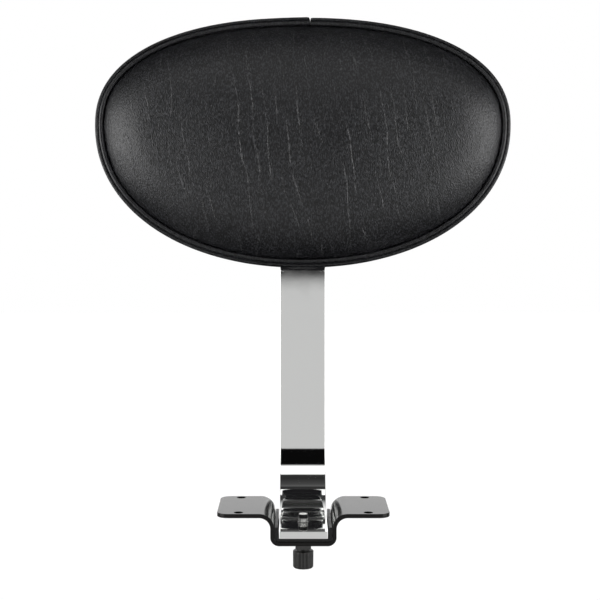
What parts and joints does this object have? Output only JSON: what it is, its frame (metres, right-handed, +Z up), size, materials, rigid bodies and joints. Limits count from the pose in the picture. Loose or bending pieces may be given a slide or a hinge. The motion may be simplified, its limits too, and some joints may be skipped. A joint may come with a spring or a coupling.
{
  "type": "drum throne backrest",
  "caption": "Padded oval backrest on a chromed flat L-bar that slides in a lined channel bracket under a drum throne's seat and is locked by a hand knob.",
  "frame": {"origin": "midway between the bracket's two ears, on the plane of their top faces, where the seat's base board lies", "axes": "+Z up, -Y towards the padded front (the way the drummer faces), +X to the right seen from the front"},
  "size_m": [0.3644, 0.1514, 0.465],
  "materials": {
    "chrome_bar": "polished chrome plate",
    "bracket_enamel": "gloss black enamel",
    "liner_nylon": "satin moulded nylon",
    "zinc_hardware": "bright zinc plate",
    "black_hardware": "black oxide",
    "knob_plastic": "satin moulded, fluted",
    "plywood": "bare plywood",
    "foam": "open-cell foam",
    "vinyl": "leather-grain vinyl",
    "back_panel_plastic": "fine-textured sheet"
  },
  "bodies": {
    "bracket": {"mounting_bracket": "bracket_enamel", "channel_liner": "liner_nylon"},
    "backrest": {"l_bar": "chrome_bar", "back_board": "plywood", "foam_cushion": "foam", "front_cover": "vinyl", "side_band": "vinyl", "welt_piping": "vinyl", "back_panel": "back_panel_plastic", "back_panel_screw_1": "black_hardware", "back_panel_screw_2": "black_hardware", "back_panel_screw_3": "black_hardware", "back_panel_screw_4": "black_hardware", "back_panel_screw_5": "black_hardware", "back_panel_screw_6": "black_hardware", "pad_bolt_upper": "zinc_hardware", "pad_bolt_lower": "zinc_hardware", "pad_flat_washer_upper": "zinc_hardware", "pad_flat_washer_lower": "zinc_hardware", "pad_lock_washer_upper": "zinc_hardware", "pad_lock_washer_lower": "zinc_hardware", "tee_nut_upper": "zinc_hardware", "tee_nut_lower": "zinc_hardware"},
    "washers": {"clamp_flat_washer": "zinc_hardware", "clamp_lock_washer": "zinc_hardware"},
    "knob": {"clamp_knob": "knob_plastic", "clamp_screw": "zinc_hardware", "jam_nut": "black_hardware"}
  },
  "joints": [
    {"name": "bar_slide", "type": "slide", "parent": "bracket", "child": "backrest", "axis": [0, 1, 0], "range_m": [-0.012, 0.012]},
    {"name": "screw_travel", "type": "slide", "parent": "backrest", "child": "washers", "axis": [0, 0, -1], "range_m": [0, 0.0026]},
    {"name": "knob_turn", "type": "hinge", "parent": "washers", "child": "knob", "pos_m": [0, 0, -0.045], "axis": [0, 0, -1], "range_deg": [0, 720]}
  ],
  "couplings": [
    {"joint": "screw_travel", "follows": "knob_turn", "m_per_rad": 0.00019894}
  ]
}
